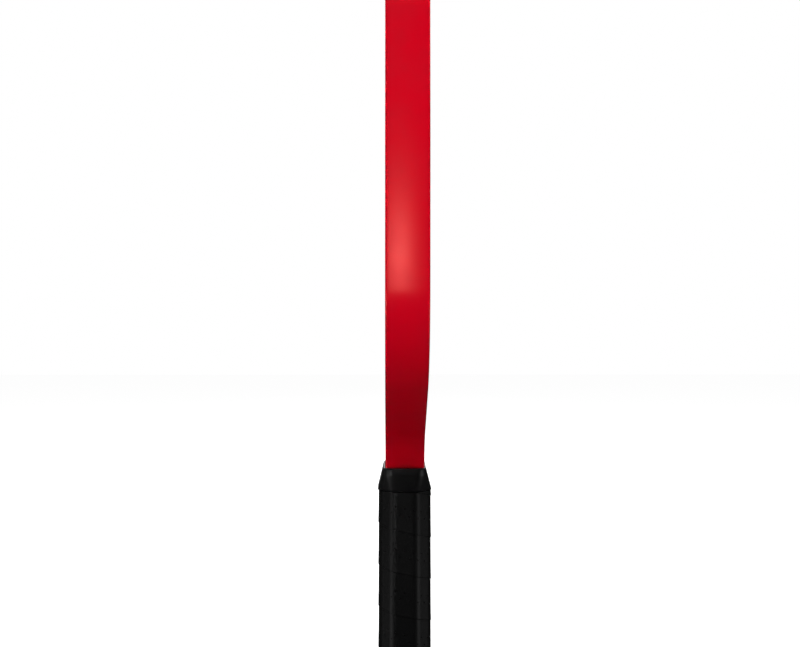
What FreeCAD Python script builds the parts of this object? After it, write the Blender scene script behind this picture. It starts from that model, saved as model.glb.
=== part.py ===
"""Pickleball paddle: a honeycomb sandwich panel in a U-section edge guard, with an octagonal handle.

Frame, in millimetres: the origin is the middle of the butt cap's flat bottom, +Z runs up the handle to
the head, X is across the striking face and Y is through the thickness. The front face looks along -Y.

How it is built, from the inside out:
  honeycomb_core                       hexagonal cells through the thickness, and a tongue in the handle
  core_veil_front, core_veil_back      non-woven veils on the cells' ends, which the skins are bonded to
  face_sheet_front, face_sheet_back    stiff striking skins
  edge_guard                           soft U section round the head, its ends tucked under the collar
  handle_pallet_front, _back           half shells round the tongue, which make the handle octagonal
  butt_cap, butt_cap_plug              flared cap slid over the pallets, and the plate set in its bottom
  butt_cap_staples                     two staples that hold the cap to both pallets
  grip_tape                            cushioned wrap, drawn here as a plain sleeve
  grip_finishing_tape, collar          band that holds the end of the wrap, and the rubber sleeve over it
"""

import FreeCAD
import Part

import math
import os

from FreeCAD import Vector

# ---- driving dimensions -------------------------------------------------------------------------------

OVERALL_LENGTH = 403.0  # butt to top of head
HEAD_WIDTH = 198.0  # over the edge guard

CORE_THICKNESS = 15.9
VEIL_THICKNESS = 0.25
SKIN_THICKNESS = 0.5

# head outline, measured on the outside of the edge guard
WIDEST_BELOW_TOP = 103.0  # how far below the top the head is widest
SIDE_RADIUS = 3000.0
TOP_RADIUS = 300.0
TOP_CORNER_RADIUS = 58.0
LOWER_CORNER_RADIUS = 56.0
SHOULDER_ANGLE = 60.5  # of the straight shoulder, in degrees from the handle's axis
THROAT_RADIUS = 24.0
NECK_HEIGHT = 127.7  # where the throat's curve becomes parallel to the handle

# edge guard section
GUARD_WALL = 1.2
GUARD_LIP_THICKNESS = 1.3
GUARD_LIP_OVERLAP = 4.5  # how far each lip reaches over the skin
GUARD_CROWN = 0.3  # how far the band's middle stands proud of its sides
GUARD_CORNER = 0.9
GUARD_LIP_NOSE = 1.4  # length of the lip's tapered nose
GUARD_NOSE_THICKNESS = 0.35
GUARD_END_HEIGHT = 126.5

# honeycomb
CELL_PITCH = 8.0  # across flats, wall centre to wall centre
CELL_WALL = 0.45
CORE_RIM = 1.0  # solid border left round the cells
SMALLEST_CELL_AREA = 8.0

# handle
HANDLE_WIDTH = 30.4  # the pallets' octagon, along X
HANDLE_BEVEL = 6.45  # leg of the octagon's corners
HANDLE_ROUND = 2.2  # radius between its flats
PALLET_COVER = 3.0  # pallet left over each skin
PALLET_SIDE = 6.2  # pallet left beside the tongue
TONGUE_BOTTOM = 4.2
SHOULDER_DROP = 4.0  # height over which the panel narrows from the neck to the tongue
TAPER_START = 117.0  # where the handle starts to thin towards the neck
PALLET_TOP = 124.5
PALLET_TOP_COVER = 0.8
PALLET_TOP_BEVEL = 2.6
PALLET_TOP_ROUND = 1.0

# wrap, its finishing tape and the collar
GRIP_THICKNESS = 1.8
GRIP_TOP = 123.5
GRIP_SQUEEZED = 1.3  # its thickness under the collar
SQUEEZE_LENGTH = 0.8
TAPE_THICKNESS = 0.15
TAPE_HEIGHT = 3.6
TAPE_BELOW_GRIP_TOP = 0.5
COLLAR_BOTTOM = 117.8
COLLAR_TOP = 130.0
COLLAR_WALL = 0.8
COLLAR_RIM_STEP = 0.4  # how far its bottom rim stands proud of the wrap's flats
COLLAR_RIM_BEVEL = 5.4  # less than the wrap's, so the rim stands out further at the corners
COLLAR_RIM_ROUND = 3.0
COLLAR_NECK_ROUND = 0.4  # inside radius where it closes on the guard
COLLAR_CLEARANCE = 0.05

# butt cap
RIM_HEIGHT = 4.5
RIM_PROUD = 0.25  # rim past the wrap's outside
RIM_CHAMFER = 1.0
FLARE = 2.0  # how far the cap grows outwards under the wrap
FLARE_TOP = 20.0
SKIRT_TOP = 30.0
SKIRT_WALL = 1.2
CAP_FLOOR = 3.4
PLUG_THICKNESS = 1.2
PLUG_SUNK = 0.25
PLUG_MARGIN = 5.0  # rim left round the plug's recess
PLUG_CLEARANCE = 0.1

# staples
STAPLE_HEIGHT = 24.0
STAPLE_CROWN = 9.0
STAPLE_WIRE_WIDTH = 1.2
STAPLE_WIRE = 0.5
STAPLE_LEG = 3.4

# ---- sizes that follow from them ----------------------------------------------------------------------

PANEL_THICKNESS = CORE_THICKNESS + 2 * (VEIL_THICKNESS + SKIN_THICKNESS)
GUARD_THICKNESS = PANEL_THICKNESS + 2 * GUARD_LIP_THICKNESS
HANDLE_THICKNESS = PANEL_THICKNESS + 2 * PALLET_COVER
PALLET_TOP_THICKNESS = PANEL_THICKNESS + 2 * PALLET_TOP_COVER
TONGUE_WIDTH = HANDLE_WIDTH - 2 * PALLET_SIDE
NECK_WIDTH = HANDLE_WIDTH + 2 * GRIP_SQUEEZED  # over the guard, level with the wrap under the collar
WIDEST_HEIGHT = OVERALL_LENGTH - WIDEST_BELOW_TOP
OCTAGON_OFFSET = 2 - math.sqrt(2)  # growth of a bevel's leg when the octagon is offset by one
SHOULDER = math.radians(SHOULDER_ANGLE)
CORNER_SAGITTA = GUARD_CORNER * (1 - math.sqrt(0.5))  # what the rounding takes off, along X and along Y


# ---- small helpers ------------------------------------------------------------------------------------


def in_xz(x, z, y=0.0):
    return Vector(x, y, z)


def save(shape, node, solids=1):
    """Writes one node, after checking that it holds as many solids as it should."""
    if len(shape.Solids) != solids:
        raise ValueError(f"{node} has {len(shape.Solids)} solids instead of {solids}")
    shape.exportStep(f"parts/{node}.step")
    print(f"{node}: {solids} solid(s), {len(shape.Faces)} faces, {shape.Volume / 1000:.2f} cm3")


def slab(x, y, z):
    """A box from three (low, high) pairs."""
    return Part.makeBox(x[1] - x[0], y[1] - y[0], z[1] - z[0], Vector(x[0], y[0], z[0]))


# ---- head outline -------------------------------------------------------------------------------------
# The right half is a chain of tangent pieces, from the neck up: hollow throat arc, straight shoulder,
# lower corner arc, side arc, top corner arc and half of the top arc. An inward offset keeps the centres.


def outline_centres():
    """Centres of the five arcs of the right half, as (x, z) vectors."""
    side = in_xz(HEAD_WIDTH / 2 - SIDE_RADIUS, WIDEST_HEIGHT)
    top = in_xz(0, OVERALL_LENGTH - TOP_RADIUS)
    throat = in_xz(NECK_WIDTH / 2 + THROAT_RADIUS, NECK_HEIGHT)

    # The lower corner's centre slides parallel to the shoulder until its arc touches the side's circle.
    along = in_xz(math.sin(SHOULDER), math.cos(SHOULDER))
    across = in_xz(-math.cos(SHOULDER), math.sin(SHOULDER))
    start = throat + across * (THROAT_RADIUS + LOWER_CORNER_RADIUS)
    offset = start - side
    reach = SIDE_RADIUS - LOWER_CORNER_RADIUS
    half_b = offset.dot(along)
    slide = -half_b + math.sqrt(half_b**2 - offset.dot(offset) + reach**2)
    lower = start + along * slide

    # The top corner's circle touches the side's and the top's from inside: two circles of centres meet.
    from_side = SIDE_RADIUS - TOP_CORNER_RADIUS
    from_top = TOP_RADIUS - TOP_CORNER_RADIUS
    gap = top - side
    distance = gap.Length
    gap.normalize()
    foot = (from_side**2 - from_top**2 + distance**2) / (2 * distance)
    rise = math.sqrt(from_side**2 - foot**2)
    upper = side + gap * foot + in_xz(-gap.z, gap.x) * rise
    return {"throat": throat, "lower": lower, "side": side, "upper": upper, "top": top}


CENTRES = outline_centres()


def on_arc(name, radius, direction):
    return CENTRES[name] + direction * radius


def half_outline(inset):
    """The right half from the neck to the top, as (kind, points) pieces, moved inwards by inset."""
    across = in_xz(-math.cos(SHOULDER), math.sin(SHOULDER))
    to_side = (CENTRES["lower"] - CENTRES["side"]).normalize()
    to_corner = (CENTRES["upper"] - CENTRES["side"]).normalize()
    to_top = (CENTRES["upper"] - CENTRES["top"]).normalize()

    def between(a, b):
        return (a + b).normalize()

    throat_radius = THROAT_RADIUS + inset
    lower_radius = LOWER_CORNER_RADIUS - inset
    side_radius = SIDE_RADIUS - inset
    corner_radius = TOP_CORNER_RADIUS - inset
    top_radius = TOP_RADIUS - inset

    neck = on_arc("throat", throat_radius, in_xz(-1, 0))
    throat_mid = on_arc("throat", throat_radius, between(in_xz(-1, 0), across))
    throat_end = on_arc("throat", throat_radius, across)
    shoulder_end = on_arc("lower", lower_radius, across * -1)
    lower_mid = on_arc("lower", lower_radius, between(across * -1, to_side))
    lower_end = on_arc("side", side_radius, to_side)
    side_mid = on_arc("side", side_radius, between(to_side, to_corner))
    side_end = on_arc("side", side_radius, to_corner)
    corner_mid = on_arc("upper", corner_radius, between(to_corner, to_top))
    corner_end = on_arc("top", top_radius, to_top)
    crest = on_arc("top", top_radius, in_xz(0, 1))
    return {
        "neck": neck,
        "pieces": [
            ("arc", neck, throat_mid, throat_end),
            ("line", throat_end, shoulder_end),
            ("arc", shoulder_end, lower_mid, lower_end),
            ("arc", lower_end, side_mid, side_end),
            ("arc", side_end, corner_mid, corner_end),
        ],
        "corner_end": corner_end,
        "crest": crest,
    }


def mirrored(point):
    return Vector(-point.x, point.y, point.z)


def edge(piece, mirror=False):
    points = [mirrored(p) if mirror else p for p in piece[1:]]
    if piece[0] == "arc":
        return Part.Arc(*points).toShape()
    return Part.makeLine(*points)


def head_edges(inset):
    """Edges from the right neck, over the top, to the left neck."""
    half = half_outline(inset)
    right = [edge(piece) for piece in half["pieces"]]
    crest = Part.Arc(half["corner_end"], half["crest"], mirrored(half["corner_end"])).toShape()
    left = [edge(piece, mirror=True) for piece in reversed(half["pieces"])]
    return right + [crest] + left, half["neck"]


def head_path(inset, bottom):
    """The open outline, with both necks carried straight down to a height."""
    edges, neck = head_edges(inset)
    foot = Vector(neck.x, 0, bottom)
    down = [Part.makeLine(foot, neck), Part.makeLine(mirrored(neck), mirrored(foot))]
    return Part.Wire([down[0], *edges, down[1]]), foot


def panel_wire(inset=0.0):
    """The closed outline of the sandwich panel with its tongue, moved inwards by inset."""
    edges, neck = head_edges(GUARD_WALL + inset)
    tongue = TONGUE_WIDTH / 2 - inset
    corners = [
        neck,
        Vector(neck.x, 0, GUARD_END_HEIGHT - inset / 2),
        Vector(tongue, 0, GUARD_END_HEIGHT - SHOULDER_DROP - inset / 2),
        Vector(tongue, 0, TONGUE_BOTTOM + inset),
    ]
    around = corners + [mirrored(p) for p in reversed(corners)]
    sides = [Part.makeLine(a, b) for a, b in zip(around, around[1:])]
    return Part.Wire(Part.__sortEdges__([*edges, *sides]))


def plate(low, high):
    """The panel's outline as a plate between two depths in Y."""
    face = Part.Face(panel_wire())
    face.translate(Vector(0, low, 0))
    return face.extrude(Vector(0, high - low, 0))


# ---- sandwich panel -----------------------------------------------------------------------------------


def cell(x, z):
    """One cell's hole as a face, with its flats across X."""
    radius = (CELL_PITCH - CELL_WALL) / math.sqrt(3)
    turns = [math.radians(30 + 60 * k) for k in range(7)]
    corners = [in_xz(x + radius * math.cos(turn), z + radius * math.sin(turn)) for turn in turns]
    return Part.Face(Part.makePolygon(corners))


def cells():
    """Every cell's hole: whole hexagons, and those that the solid border cuts short."""
    border = Part.Face(panel_wire(CORE_RIM))
    box = border.BoundBox
    row_height = CELL_PITCH * math.sqrt(3) / 2
    rows = int(box.ZLength / row_height) + 2
    columns = int(box.XMax / CELL_PITCH) + 2
    grid = []
    for row in range(rows):
        shift = CELL_PITCH / 2 if row % 2 else 0.0
        for column in range(-columns, columns + 1):
            grid.append(cell(column * CELL_PITCH + shift, box.ZMin + row * row_height))
    holes = border.common(Part.Compound(grid)).Faces
    return Part.Compound([hole for hole in holes if hole.Area > SMALLEST_CELL_AREA])


def honeycomb_core():
    face = Part.Face(panel_wire()).cut(cells()).Faces[0]
    face.translate(Vector(0, -CORE_THICKNESS / 2, 0))
    return face.extrude(Vector(0, CORE_THICKNESS, 0))


def make_panel():
    core_side = CORE_THICKNESS / 2
    veil_side = core_side + VEIL_THICKNESS
    skin_side = veil_side + SKIN_THICKNESS
    save(honeycomb_core(), "honeycomb_core")
    save(plate(-veil_side, -core_side), "core_veil_front")
    save(plate(core_side, veil_side), "core_veil_back")
    save(plate(-skin_side, -veil_side), "face_sheet_front")
    save(plate(veil_side, skin_side), "face_sheet_back")


# ---- edge guard ---------------------------------------------------------------------------------------


def guard_section(foot):
    """The U section at the right neck, open towards the panel: crowned band and tapered lips."""
    side = GUARD_THICKNESS / 2
    groove = PANEL_THICKNESS / 2
    tip = GUARD_WALL + GUARD_LIP_OVERLAP
    start = (GUARD_CROWN, side - GUARD_CORNER)
    bend = (GUARD_CROWN + CORNER_SAGITTA, side - CORNER_SAGITTA)
    end = (GUARD_CROWN + GUARD_CORNER, side)
    nose = [(tip - GUARD_LIP_NOSE, side), (tip, groove + GUARD_NOSE_THICKNESS)]
    lip = [end, *nose, (tip, groove), (GUARD_WALL, groove)]

    def at(depth, y):
        return Vector(foot.x - depth, y, foot.z)

    edges = [Part.Arc(at(start[0], -start[1]), at(0, 0), at(*start)).toShape()]
    for sign in (1, -1):
        corner = [at(depth, sign * y) for depth, y in (start, bend, end)]
        line = [at(depth, sign * y) for depth, y in lip]
        edges.append(Part.Arc(*corner).toShape())
        edges.extend(Part.makeLine(a, b) for a, b in zip(line, line[1:]))
    edges.append(Part.makeLine(at(GUARD_WALL, groove), at(GUARD_WALL, -groove)))
    return Part.Wire(Part.__sortEdges__(edges))


def make_guard():
    path, foot = head_path(0.0, GUARD_END_HEIGHT)
    shell = Part.BRepOffsetAPI.MakePipeShell(path)
    shell.setBiNormalMode(Vector(0, 1, 0))
    shell.add(guard_section(foot))
    shell.build()
    shell.makeSolid()
    save(shell.shape(), "edge_guard")


# ---- handle sections ----------------------------------------------------------------------------------
# A section is an octagon with rounded corners: (half width, half thickness, bevel leg, round radius).
# A stack is a list of (height, section) pairs; between two of them every value runs in a straight line.


def grown(section, by):
    """The section offset outwards."""
    half_x, half_y, bevel, round_radius = section
    return half_x + by, half_y + by, bevel + by * OCTAGON_OFFSET, round_radius + by


def section_at(stack, height):
    for (z0, low), (z1, high) in zip(stack, stack[1:]):
        if z0 <= height <= z1:
            share = (height - z0) / (z1 - z0)
            return tuple(a + (b - a) * share for a, b in zip(low, high))
    raise ValueError(f"the stack does not reach {height}")


def grown_stack(stack, by):
    return [(z, grown(section, by)) for z, section in stack]


def octagon_wire(section, height):
    """The section as a wire of eight flats and eight arcs, always starting at the same flat."""
    half_x, half_y, bevel, radius = section
    quarter = [(half_x, half_y - bevel), (half_x - bevel, half_y)]
    corners = [Vector(x, y, height) for x, y in quarter]
    corners += [Vector(-x, y, height) for x, y in reversed(quarter)]
    corners += [Vector(-x, -y, height) for x, y in quarter]
    corners += [Vector(x, -y, height) for x, y in reversed(quarter)]

    trim = radius * math.tan(math.pi / 8)
    sagitta = radius / math.cos(math.pi / 8) - radius
    rounds = []
    for before, corner, after in zip(corners[-1:] + corners, corners, corners[1:] + corners[:1]):
        back = (before - corner).normalize()
        on = (after - corner).normalize()
        middle = corner + (back + on).normalize() * sagitta
        rounds.append((corner + back * trim, middle, corner + on * trim))
    edges = []
    for here, following in zip(rounds, rounds[1:] + rounds[:1]):
        edges.append(Part.Arc(*here).toShape())
        edges.append(Part.makeLine(here[2], following[0]))
    return Part.Wire(edges)


def between_heights(stack, low, high):
    """The solid that a stack fills between two heights."""
    heights = [low] + [z for z, _ in stack if low < z < high] + [high]
    solids = []
    for z0, z1 in zip(heights, heights[1:]):
        wires = [octagon_wire(section_at(stack, z), z) for z in (z0, z1)]
        solids.append(Part.makeLoft(wires, True, True))
    return solids[0].multiFuse(solids[1:]) if len(solids) > 1 else solids[0]


HANDLE_SECTION = (HANDLE_WIDTH / 2, HANDLE_THICKNESS / 2, HANDLE_BEVEL, HANDLE_ROUND)
PALLET_TOP_SECTION = (HANDLE_WIDTH / 2, PALLET_TOP_THICKNESS / 2, PALLET_TOP_BEVEL, PALLET_TOP_ROUND)

# what the wrap lies on: the cap's flare, the plain octagon, then the taper to the neck
UNDER_WRAP = [
    (RIM_HEIGHT, grown(HANDLE_SECTION, FLARE)),
    (FLARE_TOP, HANDLE_SECTION),
    (TAPER_START, HANDLE_SECTION),
    (PALLET_TOP, PALLET_TOP_SECTION),
]
SQUEEZE_END = TAPER_START + SQUEEZE_LENGTH
WRAP_OUTSIDE = [
    (RIM_HEIGHT, grown(HANDLE_SECTION, FLARE + GRIP_THICKNESS)),
    (FLARE_TOP, grown(HANDLE_SECTION, GRIP_THICKNESS)),
    (TAPER_START, grown(HANDLE_SECTION, GRIP_THICKNESS)),
    (SQUEEZE_END, grown(section_at(UNDER_WRAP, SQUEEZE_END), GRIP_SQUEEZED)),
    (PALLET_TOP, grown(PALLET_TOP_SECTION, GRIP_SQUEEZED)),
]
RIM_SECTION = grown(HANDLE_SECTION, FLARE + GRIP_THICKNESS + RIM_PROUD)
RIM_OUTSIDE = [
    (0.0, grown(RIM_SECTION, -RIM_CHAMFER)),
    (RIM_CHAMFER, RIM_SECTION),
    (RIM_HEIGHT, RIM_SECTION),
]


# ---- handle pieces ------------------------------------------------------------------------------------


def cap_cavity():
    """The space inside the cap that the pallets' ends fill."""
    section = grown(HANDLE_SECTION, -SKIRT_WALL)
    return between_heights([(CAP_FLOOR, section), (SKIRT_TOP, section)], CAP_FLOOR, SKIRT_TOP)


def staples():
    """Two staples, one in each narrow side, whose crowns lie across the joint between the pallets."""
    face = HANDLE_WIDTH / 2
    low = STAPLE_HEIGHT - STAPLE_WIRE_WIDTH / 2
    high = STAPLE_HEIGHT + STAPLE_WIRE_WIDTH / 2
    half = STAPLE_CROWN / 2
    crown = slab((face - STAPLE_WIRE, face), (-half, half), (low, high))
    depth = (face - STAPLE_LEG, face - STAPLE_WIRE)
    inner = half - STAPLE_WIRE
    legs = [slab(depth, sides, (low, high)) for sides in ((-half, -inner), (inner, half))]
    right = crown.multiFuse(legs).removeSplitter()
    left = right.rotated(Vector(0, 0, 0), Vector(0, 0, 1), 180)
    return Part.Compound([right, left])


def make_pallets():
    body = between_heights(UNDER_WRAP, SKIRT_TOP, PALLET_TOP).fuse(cap_cavity())
    reach = HANDLE_WIDTH
    panel = plate(-PANEL_THICKNESS / 2, PANEL_THICKNESS / 2)
    body = body.cut(panel).cut(staples())
    for node, depth in (("handle_pallet_front", (-reach, 0)), ("handle_pallet_back", (0, reach))):
        half = body.common(slab((-reach, reach), depth, (0, OVERALL_LENGTH)))
        save(half.removeSplitter(), node)


def plug_shape(low, clearance):
    """The plug, or with no clearance its recess, from a height up to the recess's roof."""
    section = grown(RIM_SECTION, -PLUG_MARGIN - clearance)
    high = PLUG_SUNK + PLUG_THICKNESS
    return between_heights([(low, section), (high, section)], low, high)


def make_butt_cap():
    flare = between_heights(UNDER_WRAP, RIM_HEIGHT, SKIRT_TOP)
    rim = between_heights(RIM_OUTSIDE, 0.0, RIM_HEIGHT)
    recess = plug_shape(0.0, 0.0)
    cap = flare.fuse(rim).cut(cap_cavity()).cut(recess).cut(staples())
    save(cap.removeSplitter(), "butt_cap")
    save(plug_shape(PLUG_SUNK, PLUG_CLEARANCE), "butt_cap_plug")
    save(staples(), "butt_cap_staples", solids=2)


def make_grip():
    """The wrap as a plain sleeve, and the tape round its top end."""
    sleeve = between_heights(WRAP_OUTSIDE, RIM_HEIGHT, GRIP_TOP)
    sleeve = sleeve.cut(between_heights(UNDER_WRAP, RIM_HEIGHT, PALLET_TOP))
    save(sleeve.removeSplitter(), "grip_tape")

    top = GRIP_TOP - TAPE_BELOW_GRIP_TOP
    low = top - TAPE_HEIGHT
    band = between_heights(grown_stack(WRAP_OUTSIDE, TAPE_THICKNESS), low, top)
    band = band.cut(between_heights(WRAP_OUTSIDE, low, top))
    save(band.removeSplitter(), "grip_finishing_tape")


def make_collar():
    """A tapered sleeve: octagonal over the wrap, nearly square where it closes on the guard."""
    rise = COLLAR_TOP - NECK_HEIGHT
    neck_growth = THROAT_RADIUS - math.sqrt(THROAT_RADIUS**2 - rise**2)
    neck_x = NECK_WIDTH / 2 + neck_growth + COLLAR_CLEARANCE
    neck_y = GUARD_THICKNESS / 2 + COLLAR_CLEARANCE
    corner_clearance = math.sqrt(2) * COLLAR_CLEARANCE - 2 * COLLAR_CLEARANCE
    corner_reach = neck_x + neck_y - GUARD_CROWN - 2 * CORNER_SAGITTA + corner_clearance

    def stack(bottom, by):
        """From the bottom section to the neck in straight lines, just clear of the guard's corners."""
        share = (GUARD_END_HEIGHT - COLLAR_BOTTOM) / (COLLAR_TOP - COLLAR_BOTTOM)
        half_x = neck_x + by
        reach = corner_reach + math.sqrt(2) * by
        sections = [(COLLAR_BOTTOM, bottom)]
        for height, part in ((GUARD_END_HEIGHT, share), (COLLAR_TOP, 1.0)):
            half_y = bottom[1] + (neck_y + by - bottom[1]) * part
            sections.append((height, (half_x, half_y, half_x + half_y - reach, COLLAR_NECK_ROUND + by)))
        return sections

    seat = grown(section_at(WRAP_OUTSIDE, COLLAR_BOTTOM), TAPE_THICKNESS + COLLAR_CLEARANCE)
    rim_x, rim_y, *_ = grown(HANDLE_SECTION, GRIP_THICKNESS + COLLAR_RIM_STEP)
    rim = (rim_x, rim_y, COLLAR_RIM_BEVEL, COLLAR_RIM_ROUND)
    sleeve = between_heights(stack(rim, COLLAR_WALL), COLLAR_BOTTOM, COLLAR_TOP)
    sleeve = sleeve.cut(between_heights(stack(seat, 0.0), COLLAR_BOTTOM, COLLAR_TOP))
    save(sleeve.removeSplitter(), "collar")


# ---- build --------------------------------------------------------------------------------------------

os.makedirs("parts", exist_ok=True)
make_panel()
make_guard()
make_pallets()
make_butt_cap()
make_grip()
make_collar()
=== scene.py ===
# %% [markdown]
# # A pickleball paddle, seen edge-on
#
# The paddle stands on its butt. Its solids come from the CAD model, which is loaded first and never changed.
# This script gives every solid a finish, and puts a finer surface over the ones that show: the edge guard,
# the wrap, the collar and the butt. The frame is the CAD's: metres, +Z from the butt to the head, X across
# the face, Y through the thickness, and the front face looks along -Y.

import math

import bmesh
import bpy
import numpy as np
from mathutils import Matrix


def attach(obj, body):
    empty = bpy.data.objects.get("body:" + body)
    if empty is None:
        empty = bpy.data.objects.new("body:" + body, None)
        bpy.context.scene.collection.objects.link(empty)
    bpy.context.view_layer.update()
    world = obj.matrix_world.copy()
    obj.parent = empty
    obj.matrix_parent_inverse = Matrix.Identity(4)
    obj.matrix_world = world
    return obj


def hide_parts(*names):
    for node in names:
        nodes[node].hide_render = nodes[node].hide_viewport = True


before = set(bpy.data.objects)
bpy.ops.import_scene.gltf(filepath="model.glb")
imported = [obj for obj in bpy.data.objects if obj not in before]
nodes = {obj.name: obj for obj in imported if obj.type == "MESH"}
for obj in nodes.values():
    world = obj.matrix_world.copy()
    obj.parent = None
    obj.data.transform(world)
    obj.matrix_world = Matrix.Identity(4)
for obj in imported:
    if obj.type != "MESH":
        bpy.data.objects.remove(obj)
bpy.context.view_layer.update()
scene = bpy.context.scene
MM = 0.001

# %% [markdown]
# ## Camera
#
# A camera can be placed by eye, or worked out from what perspective does to parallel edges. The second way
# is used here, because the head's edge is nearer to the lens than the neck, so it looks wider, and that
# difference fixes the distance. The lens is short and close: about 0.6 m from the handle's middle, level,
# at the height of the throat, looking at the narrow side of the paddle.

# %% Camera
CAMERA_PLACE = (0.6048, -0.0089, 0.2036)
CAMERA_TURN = 0.62  # degrees about Z, away from looking straight along -X
CAMERA_LENS = 51.95  # millimetres, on a sensor 36 mm wide

camera_data = bpy.data.cameras.new("camera")
camera_data.lens = CAMERA_LENS
camera_data.sensor_width = 36.0
camera = bpy.data.objects.new("camera", camera_data)
camera.location = CAMERA_PLACE
camera.rotation_euler = (math.pi / 2, 0.0, math.radians(90.0 - CAMERA_TURN))
scene.collection.objects.link(camera)
scene.camera = camera
scene.view_settings.view_transform = "Standard"
print("camera at", CAMERA_PLACE, "lens", CAMERA_LENS)

# %% [markdown]
# ## Light
#
# Red and black next to each other on white need care: light from a white floor would fill the underside of
# the head and turn black into grey. So the studio only looks white. The world is white for the camera's own
# rays and nearly dark for every other ray, and the floor glows but only the camera sees it. Small lamps then
# do the work of softboxes: two beside the camera make the long highlight on the guard, two above light the
# head and leave the throat in shade, two narrow ones lift the throat and the head but not the handle, and low
# ones at both sides draw the soft lines along the handle's edges. Three more stand behind and light the two
# faces and the far edge.
#
# Lamps can be balanced by eye, but light adds up, so a mix can also be solved for. Here lamps were rendered
# one at a time, and a separate program found, by least squares, powers that give the brightness wanted along
# the edge. The first six powers below follow those results, rounded and trimmed a little. The two at the grip
# began as those results and were trimmed further, and the three behind were set one by one.

# %% Lamps
LAMP_CENTRE = (0.0, 0.0, 0.2)
AIM_OUT = 0.05  # lamps aim this far out from the axis, towards the narrow side that they face


def aimed_lamp(name, azimuth, elevation, distance, size, power, aim_height=0.2, spread=180.0):
    """A rectangular lamp on a sphere round the lamps' centre, with its azimuth running from +X towards +Y. It
    looks at the paddle's narrow side, at the aim height, and a small spread keeps its light near there."""
    data = bpy.data.lights.new(name, "AREA")
    data.shape = "RECTANGLE"
    data.size, data.size_y = size
    data.energy = power
    data.spread = math.radians(spread)
    turn, rise = math.radians(azimuth), math.radians(elevation)
    away = np.array([math.cos(rise) * math.cos(turn), math.cos(rise) * math.sin(turn), math.sin(rise)])
    place = np.array(LAMP_CENTRE) + distance * away
    way = np.array([AIM_OUT * math.copysign(1.0, away[0]), 0.0, aim_height]) - place
    lamp = bpy.data.objects.new(name, data)
    lamp.location = place
    lamp.rotation_euler = (
        math.atan2(math.hypot(way[0], way[1]), -way[2]), 0.0, math.atan2(way[1], way[0]) - math.pi / 2
    )
    lamp.visible_camera = False
    scene.collection.objects.link(lamp)
    return lamp


lamps = [
    # beside the camera: the highlight on the guard
    aimed_lamp("lamp_highlight_low", -2.5, 1.8, 1.0, (0.12, 0.05), 0.47),
    aimed_lamp("lamp_highlight_high", -2.5, 3.5, 1.0, (0.12, 0.05), 0.42),
    # above: the head's edge, which shades the neck
    aimed_lamp("lamp_above", -4.0, 45.0, 1.2, (0.5, 0.3), 6.7),
    aimed_lamp("lamp_above_right", 60.0, 50.0, 1.1, (0.25, 0.4), 1.3),
    # narrow, one on the throat and one on the head: the handle gets little of them
    aimed_lamp("lamp_throat", -30.0, -10.0, 1.1, (0.25, 0.25), 0.064, 0.25, 14.0),
    aimed_lamp("lamp_head", 40.0, -14.0, 1.1, (0.25, 0.25), 0.052, 0.37, 18.0),
    # low at both sides: the soft bright lines along the handle's edges
    aimed_lamp("lamp_grip_left", -66.0, -22.0, 1.1, (0.55, 0.35), 2.3, 0.05),
    aimed_lamp("lamp_grip_right", 70.0, -18.0, 1.1, (0.55, 0.3), 1.9, 0.05),
    # behind the side planes: the two faces and the far edge
    aimed_lamp("lamp_face_front", -125.0, 30.0, 1.4, (0.9, 0.7), 9.0),
    aimed_lamp("lamp_face_back", 125.0, 30.0, 1.4, (0.9, 0.7), 9.0),
    aimed_lamp("lamp_far_edge", 180.0, 20.0, 1.4, (0.7, 0.7), 6.0),
]
print("lamps:", len(lamps))

# %% World
DARK_WORLD = 0.03


def new_link(tree, source, target):
    """A link from an output to an input of the same node tree."""
    tree.links.new(source, target)


world = bpy.data.worlds.new("studio")
scene.world = world
world.use_nodes = True
tree = world.node_tree
background = tree.nodes["Background"]
ray = tree.nodes.new("ShaderNodeLightPath")
shade = tree.nodes.new("ShaderNodeMapRange")
shade.inputs["To Min"].default_value = DARK_WORLD
shade.inputs["To Max"].default_value = 1.0
new_link(tree, ray.outputs["Is Camera Ray"], shade.inputs["Value"])
new_link(tree, shade.outputs["Result"], background.inputs["Color"])
print("world: white for the camera,", DARK_WORLD, "for every other ray")

# %% Floor
FLOOR_SIZE = 8.0
FLOOR_PALE, FLOOR_GLOW = 0.6, 0.96

floor_mesh = bpy.data.meshes.new("floor")
half = FLOOR_SIZE / 2
floor_mesh.from_pydata(
    [(-half, -half, 0.0), (half, -half, 0.0), (half, half, 0.0), (-half, half, 0.0)], [], [(0, 1, 2, 3)]
)
floor = bpy.data.objects.new("floor", floor_mesh)
scene.collection.objects.link(floor)

for way in ("diffuse", "glossy", "transmission", "volume_scatter", "shadow"):
    setattr(floor, "visible_" + way, False)

floor_paint = bpy.data.materials.new("floor_paint")
floor_paint.use_nodes = True
paint = floor_paint.node_tree.nodes["Principled BSDF"]
paint.inputs["Base Color"].default_value = (FLOOR_PALE, FLOOR_PALE, FLOOR_PALE, 1.0)
paint.inputs["Specular IOR Level"].default_value = 0.0
paint.inputs["Roughness"].default_value = 1.0
paint.inputs["Emission Color"].default_value = (1.0, 1.0, 1.0, 1.0)
paint.inputs["Emission Strength"].default_value = FLOOR_GLOW
floor_mesh.materials.append(floor_paint)
print("floor", FLOOR_SIZE, "m square, seen only by the camera")

# %% [markdown]
# ## Surfaces as grids
#
# Every new piece is a grid of points: one direction runs round a section and the other along a path.
# Modelling by hand with loops and bevels would work too, but a grid keeps the points evenly spaced, so soft
# gloss runs over it without dents, and its sizes stay those of the CAD, in millimetres. The three helpers
# join a grid into quads, turn it so that it faces outwards, and weld what coincides, now in metres.

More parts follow.
